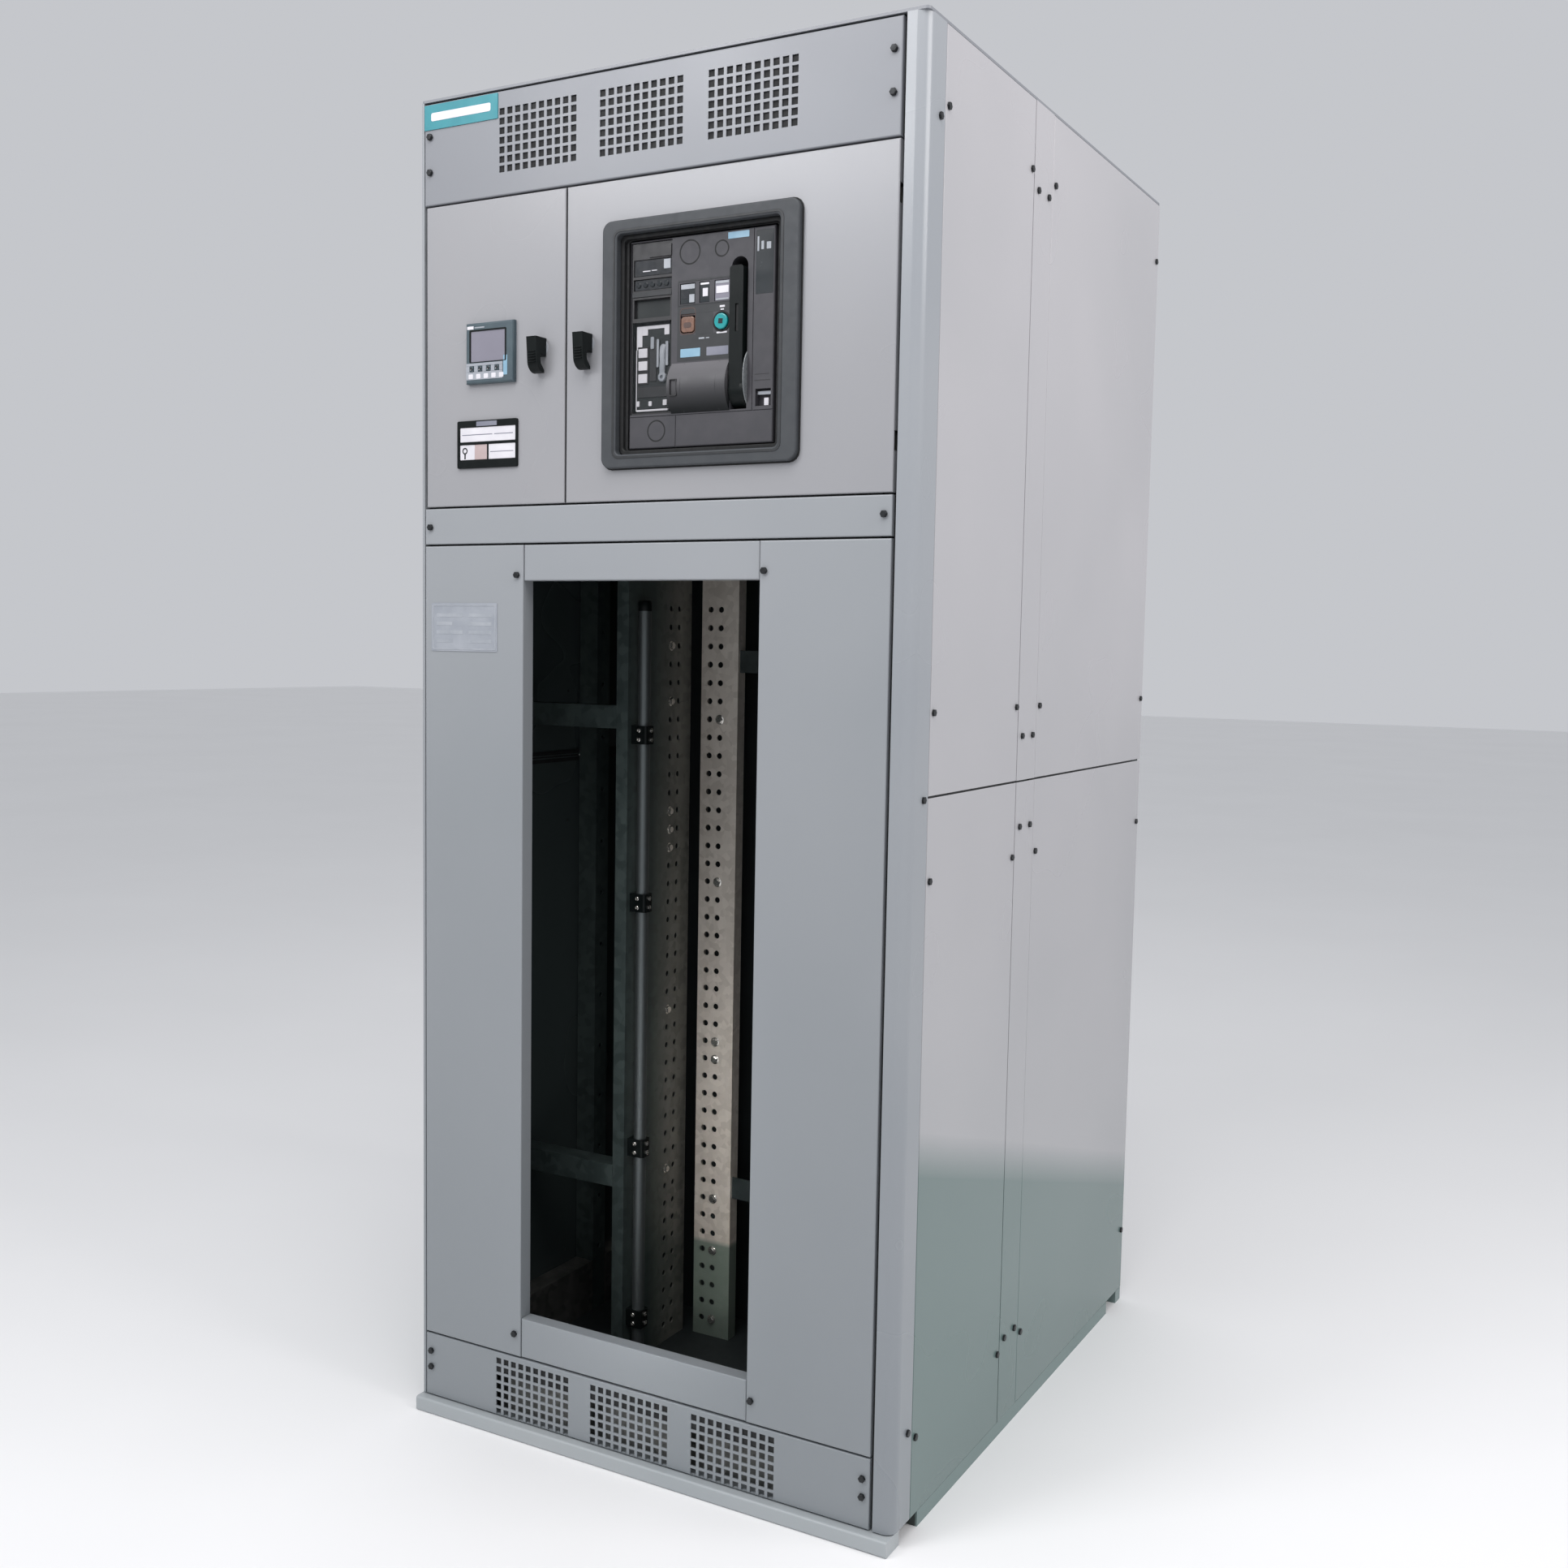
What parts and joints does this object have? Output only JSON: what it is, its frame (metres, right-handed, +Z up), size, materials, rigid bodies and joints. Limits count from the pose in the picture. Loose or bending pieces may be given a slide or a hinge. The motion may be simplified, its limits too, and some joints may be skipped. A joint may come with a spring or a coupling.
{
  "type": "industrial switchboard cabinet",
  "caption": "Floor-standing switchboard cabinet with a withdrawable breaker behind a framed door, a metering door, an open device bay and vented sheet-metal covers.",
  "frame": {"origin": "on the floor, at the centre of the four floor-bolt holes in the feet", "axes": "+Z up; the front, with the doors, faces -Y; +X is to the right as seen from the front"},
  "size_m": [0.907, 1.1305, 2.2],
  "materials": {
    "cabinet_paint": "light grey textured powder coat",
    "base_paint": "light grey powder coat",
    "foot_paint": "dark grey paint",
    "galvanised": "galvanised sheet with spangle",
    "zinc_rod": "zinc plated tube",
    "screw_black": "blackened steel",
    "plate_teal": "satin printed plate",
    "plate_white": "satin label stock",
    "copper": "bright copper",
    "insulator": "moulded polyester",
    "terminal_grey": "moulded polyamide",
    "case_black": "moulded thermoset",
    "face_grey": "fine-textured moulding",
    "bezel_grey": "satin moulding",
    "handle_black": "moulded polyamide",
    "meter_grey": "moulded bezel",
    "screen_grey": "unlit display",
    "button_green": "gloss moulded",
    "button_orange": "gloss moulded",
    "clear_cover": "clear polycarbonate"
  },
  "bodies": {
    "cabinet": {"base_rails": "base_paint", "feet": "foot_paint", "frame_posts": "galvanised", "frame_rails": "galvanised", "door_frame_bars": "cabinet_paint", "left_front_trim": "cabinet_paint", "right_front_trim": "cabinet_paint", "roof_plate": "cabinet_paint", "top_vent_panel": "cabinet_paint", "name_plate": "plate_teal", "middle_strip": "cabinet_paint", "left_lower_cover": "cabinet_paint", "right_lower_cover": "cabinet_paint", "rating_plate": "plate_white", "opening_strips": "cabinet_paint", "bottom_vent_panel": "cabinet_paint", "front_screws": "screw_black", "panel_screws": "screw_black", "right_front_side_panels": "cabinet_paint", "right_rear_side_panels": "cabinet_paint", "right_joint_strips": "cabinet_paint", "left_side_panels": "cabinet_paint", "rear_covers": "cabinet_paint", "compartment_plates": "galvanised", "metering_partition": "galvanised", "rear_partition": "galvanised", "device_frame": "galvanised", "mounting_rails": "galvanised", "support_rod": "zinc_rod", "rod_clamps": "case_black", "main_busbars": "copper", "busbar_supports": "insulator", "breaker_connections": "copper", "earth_bar": "copper", "terminal_strip": "terminal_grey", "hinge_brackets": "galvanised", "breaker_cradle": "galvanised"},
    "breaker": {"breaker_case": "case_black", "breaker_contacts": "copper", "breaker_front": "face_grey", "trip_unit": "case_black", "trip_unit_cover": "clear_cover", "drum_cover": "face_grey"},
    "charging_lever": {"charging_lever": "handle_black"},
    "on_button": {"on_button": "button_green"},
    "off_button": {"off_button": "button_orange"},
    "metering_door": {"metering_door": "cabinet_paint", "metering_door_hinges": "galvanised", "meter_housing": "meter_grey", "meter_screen": "screen_grey", "label_frame": "handle_black"},
    "meter_key_1": {"meter_key_1": "meter_grey"},
    "meter_key_2": {"meter_key_2": "meter_grey"},
    "meter_key_3": {"meter_key_3": "meter_grey"},
    "meter_key_4": {"meter_key_4": "meter_grey"},
    "metering_handle": {"metering_door_handle": "handle_black"},
    "breaker_door": {"breaker_door": "cabinet_paint", "door_cutout_frame": "bezel_grey", "breaker_door_hinges": "galvanised"},
    "breaker_handle": {"breaker_door_handle": "handle_black"}
  },
  "joints": [
    {"name": "metering_door_hinge", "type": "hinge", "parent": "cabinet", "child": "metering_door", "pos_m": [-0.43, -0.541, 1.789], "axis": [0, 0, -1], "range_deg": [0, 110]},
    {"name": "breaker_door_hinge", "type": "hinge", "parent": "cabinet", "child": "breaker_door", "pos_m": [0.402, -0.541, 1.789], "axis": [0, 0, 1], "range_deg": [0, 110]},
    {"name": "metering_handle_turn", "type": "hinge", "parent": "metering_door", "child": "metering_handle", "pos_m": [-0.204, -0.55, 1.79], "axis": [0, 1, 0], "range_deg": [0, 90]},
    {"name": "breaker_handle_turn", "type": "hinge", "parent": "breaker_door", "child": "breaker_handle", "pos_m": [-0.1155, -0.55, 1.79], "axis": [0, 1, 0], "range_deg": [0, 90]},
    {"name": "breaker_racking", "type": "slide", "parent": "cabinet", "child": "breaker", "axis": [0, -1, 0], "range_m": [0, 0.06]},
    {"name": "lever_pump", "type": "hinge", "parent": "breaker", "child": "charging_lever", "pos_m": [0.154, -0.527, 1.705], "axis": [1, 0, 0], "range_deg": [0, 80], "stiffness_Nm_per_rad": 0.4, "springref_deg": -34.38},
    {"name": "on_press", "type": "slide", "parent": "breaker", "child": "on_button", "axis": [0, 1, 0], "range_m": [0, 0.004], "stiffness_N_per_m": 500, "springref_m": -0.001},
    {"name": "off_press", "type": "slide", "parent": "breaker", "child": "off_button", "axis": [0, 1, 0], "range_m": [0, 0.004], "stiffness_N_per_m": 500, "springref_m": -0.001},
    {"name": "key_1_press", "type": "slide", "parent": "metering_door", "child": "meter_key_1", "axis": [0, 1, 0], "range_m": [0, 0.001], "stiffness_N_per_m": 600, "springref_m": -0.0005},
    {"name": "key_2_press", "type": "slide", "parent": "metering_door", "child": "meter_key_2", "axis": [0, 1, 0], "range_m": [0, 0.001], "stiffness_N_per_m": 600, "springref_m": -0.0005},
    {"name": "key_3_press", "type": "slide", "parent": "metering_door", "child": "meter_key_3", "axis": [0, 1, 0], "range_m": [0, 0.001], "stiffness_N_per_m": 600, "springref_m": -0.0005},
    {"name": "key_4_press", "type": "slide", "parent": "metering_door", "child": "meter_key_4", "axis": [0, 1, 0], "range_m": [0, 0.001], "stiffness_N_per_m": 600, "springref_m": -0.0005}
  ]
}
